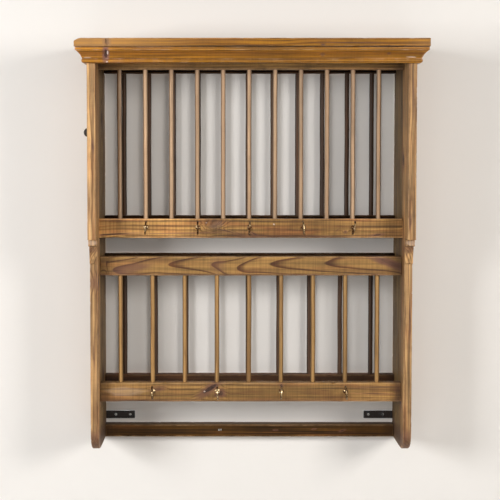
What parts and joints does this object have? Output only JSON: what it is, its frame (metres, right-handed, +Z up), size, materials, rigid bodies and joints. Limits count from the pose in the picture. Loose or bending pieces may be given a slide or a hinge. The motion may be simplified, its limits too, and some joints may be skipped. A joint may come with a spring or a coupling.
{
  "type": "wall plate rack",
  "caption": "Wall-hung wooden plate rack: tiers of upright dowels between shaped side boards, a moulded cornice above, and cup hooks on the front rails.",
  "frame": {"origin": "centre of the top back rail's back face, on the wall plane", "axes": "+X to the right, -Y out into the room, +Z up"},
  "size_m": [0.6766, 0.2245, 0.8098],
  "materials": {
    "pine": "waxed antique pine, satin, open grain and dark knots",
    "cornice_pine": "waxed antique pine, more orange, satin",
    "dark_pine": "unwaxed aged pine, dull and dark",
    "dowel_wood": "turned softwood, waxed, dull satin",
    "brass": "aged brass, dark in the hollows and bright where rubbed",
    "iron": "blackened iron, dull"
  },
  "bodies": {
    "root": {"left_side_board": "pine", "right_side_board": "pine", "left_side_bolt": "iron", "top_board": "cornice_pine", "cornice_front": "cornice_pine", "cornice_left_return": "cornice_pine", "cornice_right_return": "cornice_pine", "upper_top_front_rail": "pine", "upper_top_back_rail": "pine", "upper_bottom_front_rail": "pine", "upper_bottom_back_rail": "pine", "lower_top_front_rail": "pine", "lower_top_back_rail": "pine", "lower_bottom_front_rail": "pine", "lower_back_glued_grid": "pine", "foot_back_rail": "dark_pine", "upper_front_dowel_01": "dowel_wood", "upper_front_dowel_02": "dowel_wood", "upper_front_dowel_03": "dowel_wood", "upper_front_dowel_04": "dowel_wood", "upper_front_dowel_05": "dowel_wood", "upper_front_dowel_06": "dowel_wood", "upper_front_dowel_07": "dowel_wood", "upper_front_dowel_08": "dowel_wood", "upper_front_dowel_09": "dowel_wood", "upper_front_dowel_10": "dowel_wood", "upper_front_dowel_11": "dowel_wood", "upper_back_dowel_01": "dowel_wood", "upper_back_dowel_02": "dowel_wood", "upper_back_dowel_03": "dowel_wood", "upper_back_dowel_04": "dowel_wood", "upper_back_dowel_05": "dowel_wood", "upper_back_dowel_06": "dowel_wood", "upper_back_dowel_07": "dowel_wood", "upper_back_dowel_08": "dowel_wood", "upper_back_dowel_09": "dowel_wood", "upper_back_dowel_10": "dowel_wood", "upper_back_dowel_11": "dowel_wood", "lower_front_dowel_01": "dowel_wood", "lower_front_dowel_02": "dowel_wood", "lower_front_dowel_03": "dowel_wood", "lower_front_dowel_04": "dowel_wood", "lower_front_dowel_05": "dowel_wood", "lower_front_dowel_06": "dowel_wood", "lower_front_dowel_07": "dowel_wood", "lower_front_dowel_08": "dowel_wood", "lower_front_dowel_09": "dowel_wood", "upper_cup_hook_1": "brass", "upper_cup_hook_2": "brass", "upper_cup_hook_3": "brass", "upper_cup_hook_4": "brass", "upper_cup_hook_5": "brass", "lower_cup_hook_1": "brass", "lower_cup_hook_2": "brass", "lower_cup_hook_3": "brass", "lower_cup_hook_4": "brass", "left_wall_strap": "iron", "right_wall_strap": "iron"}
  },
  "joints": []
}
